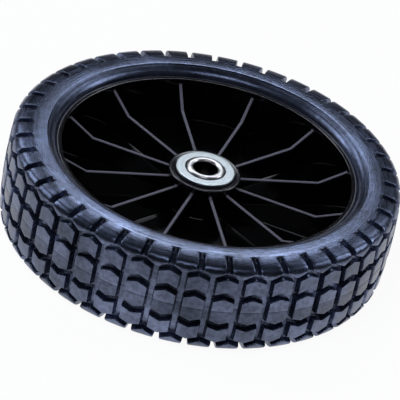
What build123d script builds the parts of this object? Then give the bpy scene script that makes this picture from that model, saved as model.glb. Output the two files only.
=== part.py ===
"""Mower wheel: block-tread tyre on a ribbed plastic rim, turning on two flanged ball bearings."""
import os
from math import asin, cos, degrees, pi, radians, sin, sqrt, tan

from build123d import *

os.makedirs("parts", exist_ok=True)

# Tyre, in millimetres, lying flat with the axle along Z and the mid-plane at Z = 0
tyre_diameter = 200.0
tyre_width = 50.8
crown_radius = 250.0        # arc of the running surface, seen in section
shoulder_radius = 7.2
sidewall_fall = 0.4         # how far the sidewall drops from its crest to the bead
sidewall_reach = 11.1       # crest to bead, measured along the radius
bead_groove_width = 0.8
bead_groove_depth = 0.5
bead_bulge = 0.9

# Tread: one column of three blocks and one pair of shoulder lugs for each pitch
pitch_count = 44
tread_turn = 3.6            # degrees from a rib to the first column
groove_depth = 3.0
slot_depth = 2.0            # shoulder slot, where it ends on the sidewall
slot_width = 2.2
slot_overrun = 2.7          # how far a slot runs inside the sidewall's crest
column_gap = 2.9
row_gap = 3.4               # between the blocks of a column, corner to corner
lug_gap = 2.2               # outer block's corner to the lugs' tips
centre_length = 10.9        # middle block, corner to corner along the axle
side_length = 7.95          # block beside it, corner to corner
point_rise = 1.9            # height of a block's pointed end
lug_rise = 2.2

# Rim
barrel_inner_radius = 74.0
barrel_wall = 2.4
rim_width = 41.1
lip_height = 1.2
lip_thickness = 1.6
lip_cover = 1.3             # how far the tyre's bead laps the face of the lip
lip_round = 0.5
web_top = -3.65
web_thickness = 3.0
rib_count = 12
rib_thickness = 1.6
rib_top = 10.0
back_rib_top = 12.0
rib_kink_radius = 60.4
rib_end_drop = 3.1          # lip face to the rib's outer end
rib_fillet = 1.5            # where a rib stands on the web
hub_radius = 17.8
hub_length = 27.3
hub_round = 0.8
corner_reach = 0.01         # how near to its radius a corner is found
hub_through_radius = 11.0

# Bearings
axle_bore = 12.7
flange_radius = 15.1
flange_thickness = 1.4
flange_round = 0.5
body_radius = 13.4
body_wall = 0.8
body_depth = 9.0
outer_land_radius = 10.4
inner_land_radius = 9.2
inner_lip_rise = 0.8
inner_lip_round = 1.3
inner_chamfer = 0.3
ball_diameter = 4.762
ball_count = 12
ball_pitch_radius = 9.9
ball_inset = 4.4            # hub face to the middle of the balls
race_clearance = 0.05

# Sizes that follow from these
tread_radius = tyre_diameter / 2
half_width = tyre_width / 2
seat_radius = barrel_inner_radius + barrel_wall
lip_radius = seat_radius + lip_height
rim_half = rim_width / 2
hub_half = hub_length / 2

# Tyre outline: crown arc, shoulder arc tangent to it, and the sidewall's crest
crown_centre = tread_radius - crown_radius
shoulder_z = half_width - shoulder_radius
crown_tilt = asin(shoulder_z / (crown_radius - shoulder_radius))
crown_angle = degrees(crown_tilt)
crest_radius = crown_centre + (crown_radius - shoulder_radius) * cos(crown_tilt)
seam = (crown_centre + crown_radius * cos(crown_tilt), crown_radius * sin(crown_tilt))
bead_radius = crest_radius - sidewall_reach
bead_z = half_width - sidewall_fall
slot_end_radius = crest_radius - slot_overrun
slot_end_z = half_width - sidewall_fall * slot_overrun / sidewall_reach
bead_edge_radius = lip_radius - lip_cover

# One pitch of tread standing proud: pointed middle block, two chevron blocks, two shoulder lugs
pitch_length = 2 * pi * tread_radius / pitch_count
half_pitch = radians(180 / pitch_count)
block_half = (pitch_length - column_gap) / 2
lug_half = tread_radius * tan(half_pitch) - slot_width / 2 / cos(half_pitch)
centre_corner = centre_length / 2
side_inner = centre_corner + row_gap
side_outer = side_inner + side_length
lug_tip = side_outer + lug_gap
lug_corner = lug_tip + lug_rise
column_root = tread_radius - 2 * groove_depth
lug_root = slot_end_radius - 2 * slot_depth
groove_reach = tread_radius + groove_depth


def tread_plane(radius, angle):
    """Plane across the tread at this radius, with X round the tyre and Y along the axle."""
    outward = (cos(angle), sin(angle), 0)
    along = (-sin(angle), cos(angle), 0)
    return Plane(origin=(radius * outward[0], radius * outward[1], 0), x_dir=along, z_dir=outward)


with BuildPart() as tread_pitch:
    with BuildSketch(tread_plane(column_root, 0)):
        with BuildLine():
            Polyline(
                (block_half, 0),
                (block_half, centre_corner),
                (0, centre_corner + point_rise),
                (-block_half, centre_corner),
                (-block_half, 0),
                close=True,
            )
        make_face()
        with BuildLine():
            Polyline(
                (block_half, side_inner),
                (block_half, side_outer),
                (0, side_outer + point_rise),
                (-block_half, side_outer),
                (-block_half, side_inner),
                (0, side_inner + point_rise),
                close=True,
            )
        make_face()
    extrude(amount=groove_reach - column_root + groove_depth)
    with BuildSketch(tread_plane(tread_radius, half_pitch)):
        with BuildLine():
            Polyline(
                (0, lug_tip),
                (lug_half, lug_corner),
                (lug_half, tyre_width),
                (-lug_half, tyre_width),
                (-lug_half, lug_corner),
                close=True,
            )
        make_face()
    extrude(amount=lug_root - tread_radius, taper=degrees(half_pitch))
    mirror(about=Plane.XY)

# Groove network: a band from the groove floor outward, less every block and lug
floor_arc = crown_radius - groove_depth
floor_seam = (seam[0] - groove_depth * cos(crown_tilt), seam[1] - groove_depth * sin(crown_tilt))
slot_floor = (slot_end_radius, slot_end_z - slot_depth)
groove_edge = half_width + groove_depth
with BuildPart() as grooves:
    with BuildSketch(Plane.XZ):
        with BuildLine():
            CenterArc((crown_centre, 0), floor_arc, 0, crown_angle)
            TangentArc(floor_seam, slot_floor, tangent=(-sin(crown_tilt), cos(crown_tilt)))
            Polyline(
                slot_floor,
                (slot_end_radius, groove_edge),
                (groove_reach, groove_edge),
                (groove_reach, 0),
            )
            mirror(about=Plane.XZ)
        make_face()
    revolve(axis=Axis.Z)
    with PolarLocations(0, pitch_count, start_angle=tread_turn):
        add(tread_pitch.part, mode=Mode.SUBTRACT)

# Tyre: solid rubber ring with a bead that hooks over the rim's lips, cut by the grooves
crest = (crest_radius, half_width)
bead_start = (bead_radius - bead_groove_width, bead_z - bead_groove_depth / 2)
bead_end = (bead_edge_radius, rim_half)
bead_middle = (
    (bead_start[0] + bead_end[0]) / 2 - bead_bulge,
    (bead_start[1] + bead_end[1]) / 2 + bead_bulge,
)
with BuildPart() as tyre:
    with BuildSketch(Plane.XZ):
        with BuildLine():
            CenterArc((crown_centre, 0), crown_radius, 0, crown_angle)
            RadiusArc(seam, crest, -shoulder_radius)
            Polyline(
                crest,
                (bead_radius, bead_z),
                (bead_radius - bead_groove_width / 2, bead_z - bead_groove_depth),
                bead_start,
            )
            ThreePointArc(bead_start, bead_middle, bead_end)
            Polyline(
                bead_end,
                (lip_radius, rim_half),
                (lip_radius, rim_half - lip_thickness),
                (seat_radius, rim_half - lip_thickness),
                (seat_radius, 0),
            )
            mirror(about=Plane.XZ)
        make_face()
    revolve(axis=Axis.Z)
    add(grooves.part, mode=Mode.SUBTRACT)
tyre.part.label = "tyre"
export_step(tyre.part, "parts/tyre.step")

# Rim: barrel with two lips, web, ribbed pockets on both sides and a hollow hub
rib_end_z = rim_half - rib_end_drop
web_bottom = web_top - web_thickness
bearing_seat = hub_half - body_depth
rib_pitch = 360 / rib_count


def rib_gap(radius):
    """Half of a rib's thickness as an angle at this radius."""
    return degrees(asin(rib_thickness / 2 / radius))


with BuildPart() as front_pocket:
    with BuildSketch(Plane.XY.offset(web_top)) as pocket_outline:
        with BuildLine():
            inner_gap = rib_gap(hub_radius)
            outer_gap = rib_gap(barrel_inner_radius)
            inner = CenterArc((0, 0), hub_radius, inner_gap, rib_pitch - 2 * inner_gap)
            outer = CenterArc((0, 0), barrel_inner_radius, outer_gap, rib_pitch - 2 * outer_gap)
            Line(inner @ 0, outer @ 0)
            Line(inner @ 1, outer @ 1)
        make_face()
    extrude(amount=rim_half - web_top)
    front_floor = front_pocket.faces().sort_by(Axis.Z)[0]
    fillet(front_floor.edges().filter_by(GeomType.LINE), rib_fillet)

with BuildPart() as back_pocket:
    with BuildSketch(Plane.XY.offset(web_bottom)):
        add(pocket_outline.sketch_local)
    extrude(amount=-(rim_half + web_bottom))
    back_floor = back_pocket.faces().sort_by(Axis.Z)[-1]
    fillet(back_floor.edges().filter_by(GeomType.LINE), rib_fillet)

with BuildPart() as rim:
    with BuildSketch(Plane.XZ) as rim_section:
        with BuildLine():
            Polyline(
                (hub_through_radius, -bearing_seat),
                (hub_through_radius, bearing_seat),
                (body_radius, bearing_seat),
                (body_radius, hub_half),
                (hub_radius, hub_half),
                (hub_radius, rib_top),
                (rib_kink_radius, rib_top),
                (barrel_inner_radius, rib_end_z),
                (barrel_inner_radius, rim_half),
                (lip_radius, rim_half),
                (lip_radius, rim_half - lip_thickness),
                (seat_radius, rim_half - lip_thickness),
                (seat_radius, lip_thickness - rim_half),
                (lip_radius, lip_thickness - rim_half),
                (lip_radius, -rim_half),
                (barrel_inner_radius, -rim_half),
                (barrel_inner_radius, -rib_end_z),
                (rib_kink_radius, -back_rib_top),
                (hub_radius, -back_rib_top),
                (hub_radius, -hub_half),
                (body_radius, -hub_half),
                (body_radius, -bearing_seat),
                close=True,
            )
        make_face()
        for corner_radius, corner_round in ((barrel_inner_radius, lip_round), (hub_radius, hub_round)):
            corners = rim_section.vertices().filter_by_position(
                Axis.X, corner_radius - corner_reach, corner_radius + corner_reach
            )
            corners = corners.sort_by(Axis.Y)
            fillet([corners[0], corners[-1]], corner_round)
    revolve(axis=Axis.Z)
    with PolarLocations(0, rib_count):
        add(front_pocket.part, mode=Mode.SUBTRACT)
        add(back_pocket.part, mode=Mode.SUBTRACT)
rim.part.label = "rim"
export_step(rim.part, "parts/rim.step")

# Flanged ball bearings, one pressed into each end of the hub
ball_radius = ball_diameter / 2
track_radius = ball_radius + race_clearance
ball_z = hub_half - ball_inset
flange_top = hub_half + flange_thickness
lip_top = flange_top + inner_lip_rise
body_bore = body_radius - body_wall
bore_radius = axle_bore / 2
outer_track_edge = sqrt(track_radius**2 - (outer_land_radius - ball_pitch_radius) ** 2)
inner_track_edge = sqrt(track_radius**2 - (ball_pitch_radius - inner_land_radius) ** 2)
outer_track_radius = ball_pitch_radius + track_radius
inner_track_radius = ball_pitch_radius - track_radius
ball_step = 360 / ball_count

for side, up in (("front", 1), ("back", -1)):
    # Outer race: flange, housing and the outer half of the ball track, pressed from sheet
    with BuildPart() as outer_race:
        with BuildSketch(Plane.XZ) as outer_section:
            with BuildLine():
                Polyline(
                    (outer_track_radius, up * ball_z),
                    (body_bore, up * ball_z),
                    (body_bore, up * bearing_seat),
                    (body_radius, up * bearing_seat),
                    (body_radius, up * hub_half),
                    (flange_radius, up * hub_half),
                    (flange_radius, up * flange_top),
                    (outer_land_radius, up * flange_top),
                    (outer_land_radius, up * (ball_z + outer_track_edge)),
                )
                RadiusArc(
                    (outer_land_radius, up * (ball_z + outer_track_edge)),
                    (outer_track_radius, up * ball_z),
                    up * track_radius,
                )
            make_face()
            rim_corners = outer_section.vertices().group_by(Axis.X)[-1]
            fillet(rim_corners, flange_round)
        revolve(axis=Axis.Z)
    outer_race.part.label = f"{side}_outer_race"
    export_step(outer_race.part, f"parts/{side}_outer_race.step")

    # Retaining ring: the inner half of the ball track, pressed into the housing behind the balls
    with BuildPart() as retaining_ring:
        with BuildSketch(Plane.XZ):
            with BuildLine():
                Polyline(
                    (outer_track_radius, up * ball_z),
                    (body_bore, up * ball_z),
                    (body_bore, up * bearing_seat),
                    (outer_land_radius, up * bearing_seat),
                    (outer_land_radius, up * (ball_z - outer_track_edge)),
                )
                RadiusArc(
                    (outer_land_radius, up * (ball_z - outer_track_edge)),
                    (outer_track_radius, up * ball_z),
                    -up * track_radius,
                )
            make_face()
        revolve(axis=Axis.Z)
    retaining_ring.part.label = f"{side}_retaining_ring"
    export_step(retaining_ring.part, f"parts/{side}_retaining_ring.step")

    # Inner race: turned sleeve with a ball track and a rounded lip that stands out of the flange
    with BuildPart() as inner_race:
        with BuildSketch(Plane.XZ) as inner_section:
            with BuildLine():
                track_high = (inner_land_radius, up * (ball_z + inner_track_edge))
                track_low = (inner_land_radius, up * (ball_z - inner_track_edge))
                Polyline(
                    track_high,
                    (inner_land_radius, up * lip_top),
                    (bore_radius, up * lip_top),
                    (bore_radius, up * bearing_seat),
                    (inner_land_radius, up * bearing_seat),
                    track_low,
                )
                ThreePointArc(track_low, (inner_track_radius, up * ball_z), track_high)
            make_face()
            ends = inner_section.vertices().group_by(Axis.Y)
            fillet(ends[-1 if up > 0 else 0], inner_lip_round)
            ends = inner_section.vertices().group_by(Axis.Y)
            chamfer(ends[0 if up > 0 else -1], inner_chamfer)
        revolve(axis=Axis.Z)
    inner_race.part.label = f"{side}_inner_race"
    export_step(inner_race.part, f"parts/{side}_inner_race.step")

    # Balls: a full ring of loose steel balls between the races
    for number in range(ball_count):
        angle = radians(number * ball_step)
        seat = (ball_pitch_radius * cos(angle), ball_pitch_radius * sin(angle), up * ball_z)
        with BuildPart() as ball:
            with Locations(seat):
                Sphere(ball_radius)
        ball.part.label = f"{side}_ball_{number + 1:02d}"
        export_step(ball.part, f"parts/{side}_ball_{number + 1:02d}.step")
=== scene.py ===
"""Garden machine wheel: block-tread tyre, ribbed plastic rim and two flanged ball bearings."""
import math

import bmesh
import bpy
from mathutils import Euler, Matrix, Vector
from mathutils.geometry import delaunay_2d_cdt


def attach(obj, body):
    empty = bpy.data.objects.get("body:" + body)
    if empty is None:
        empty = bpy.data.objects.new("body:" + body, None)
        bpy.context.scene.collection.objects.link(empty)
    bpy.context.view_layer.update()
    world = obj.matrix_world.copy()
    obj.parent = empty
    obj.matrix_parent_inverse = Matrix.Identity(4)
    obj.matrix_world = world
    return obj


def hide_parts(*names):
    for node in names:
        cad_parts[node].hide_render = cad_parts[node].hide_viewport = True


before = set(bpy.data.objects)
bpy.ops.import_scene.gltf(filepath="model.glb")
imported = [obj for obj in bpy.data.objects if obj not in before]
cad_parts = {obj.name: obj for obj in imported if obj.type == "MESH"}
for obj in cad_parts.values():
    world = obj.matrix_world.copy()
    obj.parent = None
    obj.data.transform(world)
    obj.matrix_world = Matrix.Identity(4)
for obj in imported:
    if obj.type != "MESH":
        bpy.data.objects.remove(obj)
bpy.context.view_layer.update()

# Tyre: one solid ring of black rubber, moulded in two halves that meet at the mid-plane.
# Its tread has 44 pitches of pointed blocks and chevrons between two rows of shoulder lugs,
# and its beads hook over the lips of the rim. Sizes are in millimetres.
mm = 0.001
tread_radius = 100.0
half_width = 25.4
crown_radius = 250.0
shoulder_radius = 4.8
shoulder_z = 19.6
wall_round = 38.0
sidewall_round = 60.0
wall_tilt, slot_end_tilt, bead_tilt = math.radians(76.5), math.radians(86), math.radians(93)
pitch_count = 44
tread_turn = math.radians(3.6)
groove_depth = 3.3
slot_depth = 2.0
slot_half = 1.5
slot_draft = 0.5
skirt_reach = 0.8
block_half, block_foot = 5.25, 5.85
centre_corner, centre_foot = 5.55, 5.6
side_inner, side_inner_foot = 9.4, 9.2
side_outer, side_outer_foot = 16.9, 16.95
point_rise = 1.87
point_crease = math.radians(30)
lug_tip, lug_tip_foot = 18.7, 18.6
lug_corner, lug_corner_foot = 21.5, 21.3
block_round, block_pinch = 0.3, 0.5
lug_round, lug_pinch = 0.6, 0.55
groove_root = 0.25
parting_half, parting_depth = block_pinch, 0.2
mesh_step = 1.7
edge_rows = 3
eighth_turn = math.pi / 4

# The outline is a chain of arcs: crown, shoulder, outer wall and sidewall, each tangent to the next.
crown_tilt = math.asin(shoulder_z / (crown_radius - shoulder_radius))
outline_arcs = []
arc_centre = Vector((tread_radius - crown_radius, 0.0))
arc_start, arc_tilt, last_radius = 0.0, 0.0, crown_radius
for arc_radius, end_tilt in (
    (crown_radius, crown_tilt),
    (shoulder_radius, wall_tilt),
    (wall_round, slot_end_tilt),
    (sidewall_round, bead_tilt),
):
    arc_centre = arc_centre + Vector((math.cos(arc_tilt), math.sin(arc_tilt))) * (last_radius - arc_radius)
    outline_arcs.append((arc_start, arc_tilt, arc_radius, arc_centre))
    arc_start += arc_radius * (end_tilt - arc_tilt)
    arc_tilt, last_radius = end_tilt, arc_radius
slot_end_w = outline_arcs[-1][0]
bead_w = arc_start
skirt_w = slot_end_w + skirt_reach
half_pitch = math.pi * tread_radius / pitch_count


def outline_point(w, depth):
    """Radius and height of a point this far round the tyre's outline and this deep below it."""
    start, tilt, radius, centre = [arc for arc in outline_arcs if arc[0] <= max(w, 0.0)][-1]
    tilt += (w - start) / radius
    reach = radius - depth
    return centre.x + reach * math.cos(tilt), centre.y + reach * math.sin(tilt)


slot_start = Vector(outline_point(lug_corner, groove_depth))
slot_run = Vector(outline_point(slot_end_w, slot_depth)) - slot_start
slot_across = Vector((slot_run.y, -slot_run.x))


def floor_depth(w):
    """Depth of the groove floor, which runs straight along each shoulder slot."""
    if w <= lug_corner:
        return groove_depth
    if w >= slot_end_w:
        return slot_depth
    surface = Vector(outline_point(w, 0))
    inward = Vector(outline_point(w, 1)) - surface
    return slot_across.dot(slot_start - surface) / slot_across.dot(inward)


def mirrored(point, border):
    """The point reflected in one of the pitch's border lines."""
    axis, value = border
    reflected = list(point)
    reflected[axis] = 2 * value - point[axis]
    return tuple(reflected)


def offset_line(points, first_border, last_border, offset):
    """The line moved sideways by this much, its ends sliding along the borders they stand on."""
    padded = [mirrored(points[1], first_border), *points, mirrored(points[-2], last_border)]
    moved = []
    for before, here, after in zip(padded, padded[1:], padded[2:]):
        a = (Vector(here) - Vector(before)).normalized()
        b = (Vector(after) - Vector(here)).normalized()
        normal_a = Vector((a.y, -a.x))
        normal_b = Vector((b.y, -b.x))
        middle = normal_a + normal_b
        moved.append(tuple(Vector(here) + middle * (2 * offset / middle.length_squared)))
    return moved


def divided(points, counts):
    """The line with each stretch divided into this many steps."""
    line = [points[0]]
    for (u0, w0), (u1, w1), count in zip(points, points[1:], counts):
        line += [(u0 + (u1 - u0) * k / count, w0 + (w1 - w0) * k / count) for k in range(1, count + 1)]
    return line


def pinched(points, reach):
    """The line with a point close to both ends of each long stretch, which keeps its corners crisp."""
    line = [points[0]]
    for start, end in zip(points, points[1:]):
        run = Vector(end) - Vector(start)
        if run.length > 4 * reach:
            step = run * (reach / run.length)
            line += [tuple(Vector(start) + step), tuple(Vector(end) - step)]
        line.append(end)
    return line


def steps_between(start, end):
    """How many mesh steps a straight stretch takes."""
    return max(1, round(math.dist(start, end) / mesh_step))


def border_line(start, end):
    """Points along a border between two ends, without the ends."""
    return divided([start, end], [steps_between(start, end)])[1:-1]


def slot_edge(w):
    """Half of a slot's width at this place, as a length on the tread's own circle."""
    return slot_half * tread_radius / outline_point(w, 0)[0]


def edge_steps(rounding, depth):
    """Offset and drop of each line, over the rounded top edge and then into the groove floor."""
    turns = [row * eighth_turn for row in range(edge_rows)]
    steps = [(-rounding * (1 - math.sin(turn)), rounding * (1 - math.cos(turn))) for turn in turns]
    for turn in turns:
        steps.append((groove_root * (1 - math.cos(turn)), depth - groove_root * (1 - math.sin(turn))))
    return steps


pitch_points = []
pitch_faces = []


def add_points(line, drop):
    """Points of one line of the pitch, at this drop below the tyre's outline."""
    start = len(pitch_points)
    for u, w in line:
        radius, z = outline_point(w, drop(w))
        pitch_points.append((u / tread_radius, radius, z))
    return list(range(start, len(pitch_points)))


def add_strip(upper, lower):
    """Faces between two lines of equal length."""
    for a, b, c, d in zip(upper, upper[1:], lower[1:], lower):
        pitch_faces.append((a, d, c, b))


inside_only = 1
same_point = 1e-6


def fill_area(line, drop):
    """Triangles over the area inside a closed line, with inner points at the mesh step."""
    count = len(line)
    edges = [(k, (k + 1) % count) for k in range(count)]
    inner = []
    low_u, high_u = min(p[0] for p in line), max(p[0] for p in line)
    low_w, high_w = min(p[1] for p in line), max(p[1] for p in line)
    columns = int((high_u - low_u) / mesh_step)
    rows = int((high_w - low_w) / mesh_step)
    for i in range(1, columns + 1):
        for j in range(1, rows + 1):
            u = low_u + i * (high_u - low_u) / (columns + 1)
            w = low_w + j * (high_w - low_w) / (rows + 1)
            spot = Vector((u, w))
            if min((spot - Vector(p)).length for p in line) > mesh_step / 2:
                inner.append(tuple(spot))
    points = [Vector(p) for p in line + inner]
    found, _, faces, *_ = delaunay_2d_cdt(points, edges, [], inside_only, same_point)
    ids = add_points([tuple(p) for p in found], drop)
    for face in faces:
        pitch_faces.append(tuple(ids[k] for k in face))


def no_drop(w):
    """The surface of blocks and sidewalls lies on the outline itself."""
    return 0.0


def parting_drop(w):
    """Depth of the fine line that the mould's two halves leave along the mid-plane."""
    return parting_depth * max(0.0, 1 - w / parting_half)


def raised_edge(top, foot, first_border, last_border, rounding, pinch):
    """The rounded edge and drafted wall of one raised form. Gives its top line and its floor line."""
    top, foot = pinched(top, pinch), pinched(foot, pinch)
    counts = [steps_between(a, b) for a, b in zip(top, top[1:])]
    lines = []
    for step in range(2 * edge_rows):
        offset = edge_steps(rounding, groove_depth)[step][0]
        edge, parting = (top, parting_drop) if step < edge_rows else (foot, no_drop)
        line = divided(offset_line(edge, first_border, last_border, offset), counts)
        ids = add_points(line, lambda w, k=step: edge_steps(rounding, floor_depth(w))[k][1] + parting(w))
        if lines:
            add_strip(lines[-1][1], ids)
        lines.append((line, ids))
    return lines[0][0], lines[-1][0]


left_border = (0, 0.0)
right_border = (0, half_pitch)
middle_border = (1, 0.0)
slot_stops = 8


def centre_line(half, corner):
    """Edge of a quarter of the middle block, from the mid-plane to its point."""
    return [(half, 0.0), (half, corner), (0.0, corner + point_rise)]


def side_line(half, inner, outer):
    """Edge of half a chevron block, from its notch to its point."""
    return [(0.0, inner + point_rise), (half, inner), (half, outer), (0.0, outer + point_rise)]


def lug_line(tip, corner, draft):
    """Edge of half a shoulder slot and of the lug beside it, from the slot's end to the lug's tip."""
    stop = slot_end_w - draft
    ws = [stop + (corner - stop) * k / slot_stops for k in range(slot_stops + 1)]
    return [(0.0, stop), *[(slot_edge(w) - draft, w) for w in ws], (half_pitch, tip)]


# The lines run with the raised form on their left, so a positive offset leads into the groove.
centre_top, centre_floor = raised_edge(
    centre_line(block_half, centre_corner),
    centre_line(block_foot, centre_foot),
    middle_border,
    left_border,
    block_round,
    block_pinch,
)
side_top, side_floor = raised_edge(
    side_line(block_half, side_inner, side_outer),
    side_line(block_foot, side_inner_foot, side_outer_foot),
    left_border,
    left_border,
    block_round,
    block_pinch,
)
lug_top, lug_floor = raised_edge(
    lug_line(lug_tip, lug_corner, 0.0),
    lug_line(lug_tip_foot, lug_corner_foot, slot_draft),
    left_border,
    right_border,
    lug_round,
    lug_pinch,
)

skirt_steps = 4
skirt = [(half_pitch * k / skirt_steps, skirt_w) for k in range(skirt_steps + 1)]
parting_edge = [(0.0, parting_half), *border_line((0.0, parting_half), centre_top[1]), centre_top[1]]
parting_bed = [(u, 0.0) for u, _ in parting_edge]
add_strip(add_points(parting_edge, parting_drop), add_points(parting_bed, parting_drop))
fill_area(
    centre_top[1:] + border_line(centre_top[-1], parting_edge[0]) + parting_edge[:-1],
    no_drop,
)
fill_area(side_top + border_line(side_top[-1], side_top[0]), no_drop)
fill_area(
    lug_top + border_line(lug_top[-1], skirt[-1]) + skirt[::-1] + border_line(skirt[0], lug_top[0]),
    no_drop,
)
fill_area(
    centre_floor
    + border_line(centre_floor[-1], side_floor[0])
    + side_floor
    + border_line(side_floor[-1], lug_floor[0])
    + lug_floor
    + border_line(lug_floor[-1], (half_pitch, 0.0))
    + [(half_pitch, 0.0)]
    + border_line((half_pitch, 0.0), centre_floor[0]),
    floor_depth,
)

# Sidewall, bead groove, bead roll and the hidden seat, from the tread's skirt to the mid-plane
bead_groove = [(81.9, 25.22), (81.6, 25.1), (81.35, 24.93), (81.1, 24.8), (80.9, 24.74)]
roll_start, roll_end = Vector((80.7, 24.68)), Vector((76.45, 20.6))
roll_bulge = 0.75
bead_edge = (76.3, 20.55)
lip_edge = 77.6
lip_foot = 18.95
seat_radius = 76.4
sidewall_stops = 9
roll_stops = 8
side_profile = []
for stop in range(sidewall_stops + 1):
    side_profile.append(outline_point(skirt_w + (bead_w - skirt_w) * stop / sidewall_stops, 0))
side_profile += bead_groove
roll_run = roll_end - roll_start
roll_out = Vector((roll_run.y, -roll_run.x)).normalized() * roll_bulge
for stop in range(roll_stops + 1):
    share = stop / roll_stops
    side_profile.append(tuple(roll_start + roll_run * share + roll_out * (4 * share * (1 - share))))
side_profile += [bead_edge, (lip_edge, bead_edge[1]), (lip_edge, lip_foot)]
side_profile += [(seat_radius, lip_foot), (seat_radius, 0.0)]
merge_distance = 1e-6
radial_share = 0.7


def placed(radius, turn, z):
    """A point in metres, from its radius, its angle round the axle and its height in millimetres."""
    return radius * mm * math.cos(turn), radius * mm * math.sin(turn), z * mm


def ring_mesh(name, points, faces, painted_light_and_shade=(), crease=math.pi):
    """Mesh object from points in metres, its faces turned outward and its radial creases sharp."""
    mesh = bpy.data.meshes.new(name)
    mesh.from_pydata(points, [], faces)
    # The attribute holds painted light and shade for each point: lighter rib tops, hub face and lips on the
    # rim, and a dark bore in the inner races.
    if painted_light_and_shade:
        mesh.attributes.new("painted_light_and_shade", "FLOAT", "POINT").data.foreach_set("value", painted_light_and_shade)
    work = bmesh.new()
    work.from_mesh(mesh)
    bmesh.ops.remove_doubles(work, verts=work.verts, dist=merge_distance)
    bmesh.ops.recalc_face_normals(work, faces=work.faces)
    for face in work.faces:
        face.smooth = True
    for edge in work.edges:
        start, end = (vertex.co for vertex in edge.verts)
        lean = abs((end - start).to_2d().normalized().dot(start.to_2d().normalized()))
        edge.smooth = not (lean > radial_share and edge.is_manifold and edge.calc_face_angle() > crease)
    work.to_mesh(mesh)
    work.free()
    piece = bpy.data.objects.new(name, mesh)
    bpy.context.scene.collection.objects.link(piece)
    return piece


tyre_points = []
tyre_faces = []
pitch_angle = 2 * math.pi / pitch_count
for pitch in range(pitch_count):
    column_angle = tread_turn + pitch * pitch_angle
    for side in (1, -1):
        for way in (1, -1):
            base = len(tyre_points)
            for angle, radius, z in pitch_points:
                turn = column_angle + side * angle
                tyre_points.append(placed(radius, turn, way * z))
            for face in pitch_faces:
                order = face if side * way > 0 else face[::-1]
                tyre_faces.append(tuple(base + k for k in order))
ring_angles = [tread_turn + pitch_angle * k / (2 * skirt_steps) for k in range(2 * skirt_steps * pitch_count)]
for way in (1, -1):
    rings = []
    for radius, z in side_profile:
        base = len(tyre_points)
        for turn in ring_angles:
            tyre_points.append(placed(radius, turn, way * z))
        rings.append(range(base, len(tyre_points)))
    for outer, inner in zip(rings, rings[1:]):
        for k in range(len(ring_angles)):
            following = (k + 1) % len(ring_angles)
            face = (outer[k], outer[following], inner[following], inner[k])
            tyre_faces.append(face if way > 0 else face[::-1])
tyre = ring_mesh("tyre_moulding", tyre_points, tyre_faces, crease=point_crease)
even_shading = tyre.modifiers.new("even_shading", "WEIGHTED_NORMAL")
even_shading.keep_sharp = True


def new_finish(name, metallic=0.0):
    """An empty finish with its shader, ready for the nodes of one material."""
    finish = bpy.data.materials.new(name)
    finish.use_nodes = True
    shader = finish.node_tree.nodes["Principled BSDF"]
    shader.inputs["Metallic"].default_value = metallic
    return finish, finish.node_tree.nodes, finish.node_tree.links, shader


def ring_coordinates(nodes, links, along, across):
    """Coordinates that change slowly round the axle and fast along radius and height, with no seam."""
    place = nodes.new("ShaderNodeTexCoord")
    flat = nodes.new("ShaderNodeVectorMath")
    flat.operation = "MULTIPLY"
    flat.inputs[1].default_value = (1, 1, 0)
    links.new(place.outputs["Object"], flat.inputs[0])
    radius = nodes.new("ShaderNodeVectorMath")
    radius.operation = "LENGTH"
    links.new(flat.outputs[0], radius.inputs[0])
    direction = nodes.new("ShaderNodeVectorMath")
    direction.operation = "NORMALIZE"
    links.new(flat.outputs[0], direction.inputs[0])
    spread = nodes.new("ShaderNodeVectorMath")
    spread.operation = "SCALE"
    spread.inputs["Scale"].default_value = along
    links.new(direction.outputs[0], spread.inputs[0])
    height = nodes.new("ShaderNodeSeparateXYZ")
    links.new(place.outputs["Object"], height.inputs[0])
    total = nodes.new("ShaderNodeMath")
    total.operation = "ADD"
    links.new(radius.outputs["Value"], total.inputs[0])
    links.new(height.outputs["Z"], total.inputs[1])
    depth = nodes.new("ShaderNodeMath")
    depth.operation = "MULTIPLY"
    depth.inputs[1].default_value = across
    links.new(total.outputs[0], depth.inputs[0])
    lift = nodes.new("ShaderNodeCombineXYZ")
    links.new(depth.outputs[0], lift.inputs["Z"])
    joined = nodes.new("ShaderNodeVectorMath")
    joined.operation = "ADD"
    links.new(spread.outputs[0], joined.inputs[0])
    links.new(lift.outputs[0], joined.inputs[1])
    return joined.outputs[0]


def noise_of(nodes, links, vector, scale, detail):
    """A noise texture in these coordinates."""
    noise = nodes.new("ShaderNodeTexNoise")
    noise.inputs["Scale"].default_value = scale
    noise.inputs["Detail"].default_value = detail
    links.new(vector, noise.inputs["Vector"])
    return noise.outputs["Fac"]


def ramp_of(nodes, links, factor, stops):
    """A colour ramp with these stops of place and colour."""
    ramp = nodes.new("ShaderNodeValToRGB")
    elements = ramp.color_ramp.elements
    while len(elements) < len(stops):
        elements.new(0.5)
    for element, (place, colour) in zip(elements, stops):
        element.position = place
        element.color = (*colour, 1)
    links.new(factor, ramp.inputs["Fac"])
    return ramp.outputs["Color"]


def greys(*stops):
    """The stops of a ramp from grey to grey, from their places and levels."""
    return [(place, (level, level, level)) for place, level in stops]


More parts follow.
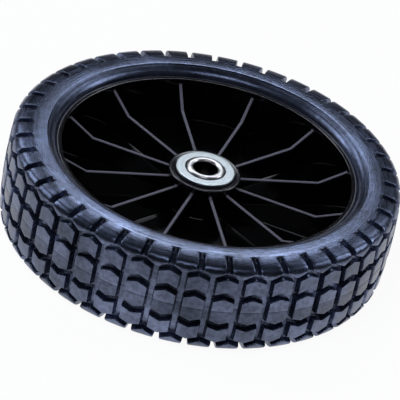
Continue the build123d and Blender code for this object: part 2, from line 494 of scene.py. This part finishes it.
rubber_black, rubber_bloom = (0.003, 0.0034, 0.005), (0.012, 0.014, 0.022)
rubber, nodes, links, shader = new_finish("tread_rubber_satin")
shader.inputs["IOR"].default_value = 2.35
shader.inputs["Specular Tint"].default_value = (0.54, 0.64, 1.0, 1)
rubber_streaks = noise_of(nodes, links, ring_coordinates(nodes, links, 3.0, 900.0), 1.0, 4.0)
object_place = nodes.new("ShaderNodeTexCoord").outputs["Object"]
rubber_clouds = noise_of(nodes, links, object_place, 60.0, 7.0)
rubber_patches = noise_of(nodes, links, object_place, 24.0, 3.0)
rubber_scuffs = noise_of(nodes, links, object_place, 420.0, 8.0)
rubber_grain = noise_of(nodes, links, object_place, 2600.0, 3.0)
links.new(
    ramp_of(nodes, links, rubber_clouds, [(0.4, rubber_black), (0.7, rubber_bloom)]),
    shader.inputs["Base Color"],
)
links.new(ramp_of(nodes, links, rubber_streaks, greys((0.3, 0.19), (0.7, 0.36))), shader.inputs["Roughness"])
# The rows of blocks get a different specular level by height, and a dull line where the mould's halves meet
rubber_height = nodes.new("ShaderNodeSeparateXYZ")
links.new(object_place, rubber_height.inputs[0])
rubber_row = nodes.new("ShaderNodeMapRange")
rubber_row.inputs["From Min"].default_value = -half_width * mm
rubber_row.inputs["From Max"].default_value = half_width * mm
links.new(rubber_height.outputs["Z"], rubber_row.inputs["Value"])
sheen = ramp_of(
    nodes,
    links,
    rubber_row.outputs["Result"],
    greys(
        (0.32, 1.0),
        (0.38, 0.58),
        (0.495, 0.70),
        (0.4965, 0.30),
        (0.5035, 0.30),
        (0.505, 1.0),
        (0.62, 0.95),
        (0.68, 0.72),
        (0.82, 0.72),
        (0.90, 1.0),
    ),
)
for mottle, low in ((rubber_clouds, 0.65), (rubber_patches, 0.6), (rubber_scuffs, 0.6)):
    mottled = nodes.new("ShaderNodeMath")
    mottled.operation = "MULTIPLY"
    links.new(sheen, mottled.inputs[0])
    links.new(ramp_of(nodes, links, mottle, greys((0.36, low), (0.62, 1.0))), mottled.inputs[1])
    sheen = mottled.outputs[0]
links.new(sheen, shader.inputs["Specular IOR Level"])
rubber_bump = nodes.new("ShaderNodeBump")
rubber_bump.inputs["Strength"].default_value = 0.25
rubber_bump.inputs["Distance"].default_value = 0.0001
links.new(rubber_grain, rubber_bump.inputs["Height"])
links.new(rubber_bump.outputs["Normal"], shader.inputs["Normal"])
tyre.data.materials.append(rubber)
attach(tyre, "wheel")
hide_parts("tyre")

# Rim: one moulding of black plastic, a barrel with two lips, a web with twelve ribs on each
# side and a hollow hub that holds the bearings. The ribs taper up to the barrel past a kink.
barrel_radius = 74.0
rim_half = 20.55
lip_round = 0.5
hub_radius = 18.4
hub_half = 13.65
hub_round = 0.8
bearing_seat = 4.65
body_radius = 13.4
hub_bore = 11.0
rib_count = 12
rib_half = 0.8
rib_round = 0.4
rib_draft = 0.1
rib_fillet = 0.9
rib_kink_radius = 60.4
rib_end_z = 17.45
hub_fillet = 0.5
barrel_fillet = 0.12
front_web, front_rib_top = -3.65, 10.0
back_web, back_rib_top = 6.65, 12.0
pocket_rows = 4
web_stops = 12
wall_stops = 3
# Painted light: how much lighter the hub's face and the lips are painted, and the painted highlight line
# under the tyre's bead.
hub_painted_light, lip_painted_light, bead_line_painted_highlight = 0.13, 0.03, 0.9
bead_line = 75.9
# Height over which the painted highlight on the rib tops fades out.
highlight_fade = 0.15

# Offset from the rib's middle and drop below its top, or rise above the web, of each row
rib_rows = [(0.0, 0.0), (rib_half - rib_round, 0.0)]
for turn in (eighth_turn, 2 * eighth_turn):
    rib_rows.append((rib_half - rib_round * (1 - math.sin(turn)), rib_round * (1 - math.cos(turn))))
# The rows over each rib's rounded top carry a painted highlight, which fades out over the next row.
highlight_rows = len(rib_rows)
rib_rows += [(rib_half, rib_round + highlight_fade)]
root_rows = []
for turn in (0.0, eighth_turn, 2 * eighth_turn):
    root_offset = rib_half + rib_draft + rib_fillet * (1 - math.cos(turn))
    root_rows.append((root_offset, rib_fillet * (1 - math.sin(turn))))


def row_angles(radius):
    """Angle of each row at this radius, from the rib's middle to the pocket's middle."""
    angles = [math.asin(offset / radius) for offset, _ in rib_rows + root_rows]
    pocket_middle = math.pi / rib_count
    return angles + [
        angles[-1] + (pocket_middle - angles[-1]) * (k + 1) / pocket_rows for k in range(pocket_rows)
    ]


def corner_rise(distance, fillet):
    """Height of a fillet's curve at this distance from the wall it climbs."""
    if distance >= fillet:
        return 0.0
    return fillet - math.sqrt(fillet**2 - (fillet - distance) ** 2)


def rib_crest(radius, rib_top):
    """Height of the rib's top edge."""
    if radius <= rib_kink_radius:
        return rib_top
    return rib_top + (rib_end_z - rib_top) * (radius - rib_kink_radius) / (barrel_radius - rib_kink_radius)


def row_heights(radius, web, rib_top):
    """Height of each row at this radius."""
    crest = rib_crest(radius, rib_top)
    hub_rise = corner_rise(radius - hub_radius, hub_fillet)
    foot = max(hub_rise, corner_rise(barrel_radius - radius, barrel_fillet))
    heights = [crest - drop for _, drop in rib_rows]
    heights += [web + max(rise, foot) for _, rise in root_rows]
    return heights + [web + foot] * pocket_rows


fillet_shares = (0.0, 0.1, 0.35, 0.7, 1.0)
web_start, web_end = hub_radius + hub_fillet, barrel_radius - barrel_fillet
rim_radii = [hub_radius + hub_fillet * share for share in fillet_shares]
rim_radii += [web_start + (web_end - web_start) * k / web_stops for k in range(1, web_stops)]
rim_radii += [rib_kink_radius]
rim_radii += [barrel_radius - barrel_fillet * share for share in fillet_shares]
rim_radii.sort()

rim_points = []
rim_faces = []
rim_painted_light = []
web_columns = range(wall_stops, wall_stops + len(rim_radii))
for way, web, rib_top in ((1, front_web, front_rib_top), (-1, back_web, back_rib_top)):
    columns = []
    hub_foot = row_heights(hub_radius, web, rib_top)
    barrel_foot = row_heights(barrel_radius, web, rib_top)
    hub_edge = hub_half - hub_round
    barrel_edge = rim_half - lip_round
    for k in range(wall_stops):
        columns.append((hub_radius, [hub_edge + (z - hub_edge) * k / wall_stops for z in hub_foot]))
    columns += [(radius, row_heights(radius, web, rib_top)) for radius in rim_radii]
    for k in range(1, wall_stops + 1):
        columns.append((barrel_radius, [z + (barrel_edge - z) * k / wall_stops for z in barrel_foot]))
    for rib in range(rib_count):
        for side in (1, -1):
            grid = []
            for column, (radius, heights) in enumerate(columns):
                base = len(rim_points)
                for row, (angle, z) in enumerate(zip(row_angles(radius), heights)):
                    turn = 2 * math.pi * rib / rib_count + side * angle
                    rim_points.append(placed(radius, turn, way * z))
                    # Rib tops across the web get the painted highlight, and the rest stays unpainted.
                    rim_painted_light.append(1.0 if row < highlight_rows and column in web_columns else 0.0)
                grid.append(range(base, len(rim_points)))
            for near, far in zip(grid, grid[1:]):
                for k in range(len(near) - 1):
                    face = (near[k], far[k], far[k + 1], near[k + 1])
                    rim_faces.append(face if side * way > 0 else face[::-1])


def arc(centre, radius, start, end, steps):
    """Points of an arc in section, from one angle to another in degrees."""
    turns = [math.radians(start + (end - start) * k / steps) for k in range(steps + 1)]
    return [(centre[0] + radius * math.cos(t), centre[1] + radius * math.sin(t)) for t in turns]


def add_rings(points, faces, profile, angles, closed):
    """Turns a section in millimetres round the axle at these angles."""
    rings = []
    for radius, z in profile:
        base = len(points)
        points.extend(placed(radius, turn, z) for turn in angles)
        rings.append(range(base, len(points)))
    if closed:
        rings.append(rings[0])
    for first, second in zip(rings, rings[1:]):
        for k in range(len(angles)):
            following = (k + 1) % len(angles)
            faces.append((first[k], first[following], second[following], second[k]))


def round_angles(radius):
    """All the rows' angles once round the rim at this radius."""
    angles = set()
    for rib in range(rib_count):
        for angle in row_angles(radius):
            for side in (1, -1):
                angles.add(round((2 * math.pi * rib / rib_count + side * angle) % (2 * math.pi), 9))
    return sorted(angles)


def both_ways(profile):
    """A section followed by its mirror image in the mid-plane."""
    return profile + [(radius, -z) for radius, z in reversed(profile)]


def ring_painted_light(profile, angles, painted_light_and_shade):
    """Painted light of a turned section's points: most as a painted highlight line under the tyre's bead,
    none where it joins the ribbed sides.
    """
    values = [bead_line_painted_highlight if radius > bead_line else painted_light_and_shade for radius, _ in profile]
    values[0] = values[-1] = 0.0
    return [value for value in values for _ in angles]


hub_section = arc((hub_radius - hub_round, hub_half - hub_round), hub_round, 0, 90, 4)
hub_section += [(body_radius, hub_half), (body_radius, bearing_seat), (hub_bore, bearing_seat)]
add_rings(rim_points, rim_faces, both_ways(hub_section), round_angles(hub_radius), False)
rim_painted_light += ring_painted_light(both_ways(hub_section), round_angles(hub_radius), hub_painted_light)
lip_section = arc((barrel_radius + lip_round, rim_half - lip_round), lip_round, 180, 90, 4)
# Outward of the bead line, the lip carries a painted highlight line for the edge of the tyre's bead.
lip_section += [(bead_line - lip_round / 4, rim_half), (bead_line + lip_round / 4, rim_half)]
lip_section += [(lip_edge, rim_half), (lip_edge, lip_foot), (seat_radius, lip_foot)]
add_rings(rim_points, rim_faces, both_ways(lip_section), round_angles(barrel_radius), False)
rim_painted_light += ring_painted_light(both_ways(lip_section), round_angles(barrel_radius), lip_painted_light)
rim = ring_mesh("rim_moulding", rim_points, rim_faces, rim_painted_light)
rim.modifiers.new("even_shading", "WEIGHTED_NORMAL")

# The second plastic colour is a painted highlight, laid on the rib tops, the hub's face and the lips.
plastic_black, plastic_painted_highlight = (0.0012, 0.0012, 0.0015), (0.085, 0.077, 0.104)
plastic, nodes, links, shader = new_finish("rim_black_plastic")
shader.inputs["Specular IOR Level"].default_value = 0.7
painted_light_node = nodes.new("ShaderNodeAttribute")
painted_light_node.attribute_name = "painted_light_and_shade"
plastic_painted_light = painted_light_node.outputs["Fac"]
links.new(
    ramp_of(nodes, links, plastic_painted_light, [(0.0, plastic_black), (1.0, plastic_painted_highlight)]),
    shader.inputs["Base Color"],
)
links.new(ramp_of(nodes, links, plastic_painted_light, greys((0.0, 0.09), (1.0, 0.55))), shader.inputs["Roughness"])
rim.data.materials.append(plastic)
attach(rim, "wheel")
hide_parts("rim")

# Bearings: a pressed, zinc-plated outer race with its flange on the hub's face, a retaining
# ring behind the balls, and a polished inner race that turns on the axle.
zinc_dull, zinc_bright = (0.45, 0.49, 0.51), (0.62, 0.66, 0.67)
zinc, nodes, links, shader = new_finish("flange_zinc_plate", metallic=1.0)
zinc_rings = noise_of(nodes, links, ring_coordinates(nodes, links, 0.6, 5200.0), 1.0, 3.0)
links.new(
    ramp_of(nodes, links, zinc_rings, [(0.3, zinc_dull), (0.7, zinc_bright)]),
    shader.inputs["Base Color"],
)
links.new(ramp_of(nodes, links, zinc_rings, greys((0.3, 0.26), (0.7, 0.38))), shader.inputs["Roughness"])
# The last colour is a painted shade, nearly black, laid on the inner race's bore.
steel_dull, steel_bright, bore_painted_shade = (0.74, 0.70, 0.70), (0.86, 0.83, 0.82), (0.035, 0.032, 0.030)
polish, nodes, links, shader = new_finish("race_polished_steel", metallic=1.0)
shader.inputs["Roughness"].default_value = 0.28
polish_rings = noise_of(nodes, links, ring_coordinates(nodes, links, 0.4, 7000.0), 1.0, 2.0)
# The bore's points carry the attribute that mixes in this painted shade.
bore_shade_node = nodes.new("ShaderNodeAttribute")
bore_shade_node.attribute_name = "painted_light_and_shade"
bore_shading = nodes.new("ShaderNodeMix")
bore_shading.data_type = "RGBA"
links.new(bore_shade_node.outputs["Fac"], bore_shading.inputs["Factor"])
links.new(
    ramp_of(nodes, links, polish_rings, [(0.3, steel_dull), (0.7, steel_bright)]),
    bore_shading.inputs["A"],
)
bore_shading.inputs["B"].default_value = (*bore_painted_shade, 1)
links.new(bore_shading.outputs["Result"], shader.inputs["Base Color"])
ball_dull, ball_bright = (0.70, 0.70, 0.72), (0.78, 0.78, 0.80)
ball_steel, nodes, links, shader = new_finish("ball_bright_steel", metallic=1.0)
shader.inputs["Roughness"].default_value = 0.06
ball_clouds = noise_of(nodes, links, nodes.new("ShaderNodeTexCoord").outputs["Object"], 700.0, 3.0)
links.new(
    ramp_of(nodes, links, ball_clouds, [(0.3, ball_dull), (0.7, ball_bright)]),
    shader.inputs["Base Color"],
)
flange_radius = 15.1
flange_top = 15.05
flange_round, mouth_round = 0.35, 0.175
flange_dome, dome_turn = 4.0, 80
body_bore = 12.6
ball_count = 12
ball_height = 9.25
ball_circle = 9.9
track_radius = 2.431
outer_land = 10.4
inner_land = 9.2
race_lip = 9.85
axle_radius = 6.35
lip_top = 15.85
race_lip_round = 1.3
neck_drop, lip_drop = 1.6, 1.1
bore_margin = 0.01
race_evenness = 60
race_steps = 128
race_angles = [2 * math.pi * k / race_steps for k in range(race_steps)]
outer_turn = math.degrees(math.acos((outer_land - ball_circle) / track_radius))
inner_turn = math.degrees(math.acos((ball_circle - inner_land) / track_radius))
flange_edge = flange_radius - flange_round
dome_x = flange_edge - (flange_dome - flange_round) * math.cos(math.radians(dome_turn))
dome_edge_z = flange_top - flange_dome + (flange_dome - flange_round) * math.sin(math.radians(dome_turn))
outer_section = [(body_bore, ball_height), (body_bore, bearing_seat), (body_radius, bearing_seat)]
outer_section += [(body_radius, hub_half)]
outer_section += arc((flange_edge, hub_half + flange_round), flange_round, -90, 0, 4)
outer_section += arc((flange_edge, dome_edge_z), flange_round, 0, dome_turn, 4)
outer_section += arc((dome_x, flange_top - flange_dome), flange_dome, dome_turn, 90, 4)
outer_section += arc((outer_land + mouth_round, flange_top - mouth_round), mouth_round, 90, 180, 3)
outer_section += arc((ball_circle, ball_height), track_radius, outer_turn, 0, 8)
inner_section = [(inner_land, flange_top - neck_drop), (race_lip, flange_top - lip_drop)]
inner_section += arc((race_lip - race_lip_round, lip_top - race_lip_round), race_lip_round, 0, 90, 8)
inner_section += arc((axle_radius + race_lip_round, lip_top - race_lip_round), race_lip_round, 90, 180, 8)
inner_section += [(axle_radius, bearing_seat), (inner_land, bearing_seat)]
inner_section += arc((ball_circle, ball_height), track_radius, 180 + inner_turn, 180 - inner_turn, 10)


def turned_race(node, section, way, body, finish):
    """One race of a bearing, turned from its section, in place of its plain solid."""
    points = []
    faces = []
    add_rings(points, faces, [(radius, way * z) for radius, z in section], race_angles, True)
    bore_end = axle_radius + bore_margin
    # The bore's points get the painted shade.
    bore_shade_at = [1.0 if radius < bore_end else 0.0 for radius, _ in section for _ in race_angles]
    race = ring_mesh(f"{node}_turned", points, faces, bore_shade_at)
    race.data.materials.append(finish)
    even = race.modifiers.new("even_shading", "WEIGHTED_NORMAL")
    even.weight = race_evenness
    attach(race, body)
    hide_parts(node)


def dress(node, finish):
    """Gives a solid of the frame its finish."""
    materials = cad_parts[node].data.materials
    materials.clear()
    materials.append(finish)


for side, way in (("front", 1), ("back", -1)):
    turned_race(f"{side}_outer_race", outer_section, way, "wheel", zinc)
    turned_race(f"{side}_inner_race", inner_section, way, f"{side}_inner", polish)
    dress(f"{side}_retaining_ring", zinc)
    for ball in range(1, ball_count + 1):
        dress(f"{side}_ball_{ball:02d}", ball_steel)

# Floor: a wide sheet of white board under the wheel, which lies on its side. The sheet is bent
# up a little behind the wheel, and it looks evenly white, also where the metal mirrors it.
floor_half = 6.0
floor_z = -half_width * mm
sheet_turn = math.radians(72.4)
sheet_bends = [(-floor_half, 0.0), (2.4, 0.0), (2.6, 0.03), (2.75, 0.12), (2.8, 0.3)]
sheet_points = []
for reach, rise in sheet_bends:
    for across in (-floor_half, floor_half):
        sheet_points.append((
            reach * math.cos(sheet_turn) - across * math.sin(sheet_turn),
            reach * math.sin(sheet_turn) + across * math.cos(sheet_turn),
            floor_z + rise,
        ))
sheet_mesh = bpy.data.meshes.new("white_table")
sheet_mesh.from_pydata(
    sheet_points, [], [(2 * k, 2 * k + 2, 2 * k + 3, 2 * k + 1) for k in range(len(sheet_bends) - 1)]
)
table = bpy.data.objects.new("white_table", sheet_mesh)
bpy.context.scene.collection.objects.link(table)
sheet_glow = 0.94
white, nodes, links, shader = new_finish("table_white")
shader.inputs["Roughness"].default_value = 0.9
shader.inputs["Base Color"].default_value = (0.9, 0.9, 0.9, 1)
path = nodes.new("ShaderNodeLightPath")
seen = nodes.new("ShaderNodeMath")
seen.operation = "MAXIMUM"
links.new(path.outputs["Is Camera Ray"], seen.inputs[0])
links.new(path.outputs["Is Glossy Ray"], seen.inputs[1])
seen_through = nodes.new("ShaderNodeMath")
seen_through.operation = "MAXIMUM"
links.new(seen.outputs[0], seen_through.inputs[0])
links.new(path.outputs["Is Transmission Ray"], seen_through.inputs[1])
glow_share = nodes.new("ShaderNodeMath")
glow_share.operation = "MULTIPLY"
glow_share.inputs[1].default_value = sheet_glow
links.new(seen_through.outputs[0], glow_share.inputs[0])
glow = nodes.new("ShaderNodeEmission")
glow.inputs["Color"].default_value = (1, 1, 1, 1)
glow.inputs["Strength"].default_value = 1.0
mix = nodes.new("ShaderNodeMixShader")
links.new(glow_share.outputs[0], mix.inputs["Fac"])
links.new(shader.outputs[0], mix.inputs[1])
links.new(glow.outputs[0], mix.inputs[2])
links.new(mix.outputs[0], nodes["Material Output"].inputs["Surface"])
table.data.materials.append(white)

# Light: six soft boxes round the wheel in a dark room, and one large lamp high on its left that
# brightens it evenly and isn't mirrored in it.
lamp_colour = (0.84, 0.91, 1.0)
box_distance, room_distance = 1.2, 2.0
world = bpy.data.worlds.new("dark_room")
world.use_nodes = True
world.node_tree.nodes["Background"].inputs["Color"].default_value = (0.01, 0.01, 0.011, 1)
bpy.context.scene.world = world


def soft_box(name, place, size, power):
    """A rectangular lamp at this place, turned to the wheel's middle."""
    lamp = bpy.data.lights.new(name, "AREA")
    lamp.shape = "RECTANGLE"
    lamp.size, lamp.size_y = size
    lamp.energy = power
    lamp.color = lamp_colour
    holder = bpy.data.objects.new(name, lamp)
    holder.location = place
    holder.rotation_euler = (-Vector(place)).to_track_quat("-Z", "Y").to_euler()
    bpy.context.scene.collection.objects.link(holder)
    return holder


def box_place(turn, rise, distance):
    """Place of a lamp at this angle round the wheel and this height angle, both in degrees."""
    flat = distance * math.cos(math.radians(rise))
    turn = math.radians(turn)
    return (flat * math.cos(turn), flat * math.sin(turn), distance * math.sin(math.radians(rise)))


for name, turn, rise, size, power in (
    ("back_strip", 73, 43, (0.4, 0.18), 1.7),
    ("left_lug_box", 109, 42, (0.25, 0.65), 1.3),
    ("right_lug_box", 37, 42, (0.25, 0.5), 0.7),
    ("left_box", -213, 34, (0.45, 0.6), 3.0),
    ("right_box", 1, 36, (0.4, 0.55), 2.6),
    ("front_box", -107, 62, (0.6, 0.2), 1.5),
):
    soft_box(name, box_place(turn, rise, box_distance), size, power)
room_light = soft_box("room_light", box_place(-150, 60, room_distance), (1.5, 1.5), 24.0)
room_light.visible_glossy = False

# Camera: above the wheel and to its front, with a long lens, turned a little on its own axis.
camera_data = bpy.data.cameras.new("camera")
camera_data.sensor_width = 36.0
camera_data.lens = 245.67
camera_data.clip_end = 20.0
camera = bpy.data.objects.new("camera", camera_data)
camera.location = (-0.34939, -1.10120, 0.75624)
camera.rotation_euler = Euler((math.radians(55.9888), math.radians(-10.5789), math.radians(-10.5797)))
bpy.context.scene.collection.objects.link(camera)
bpy.context.scene.camera = camera
bpy.context.scene.view_settings.view_transform = "Standard"
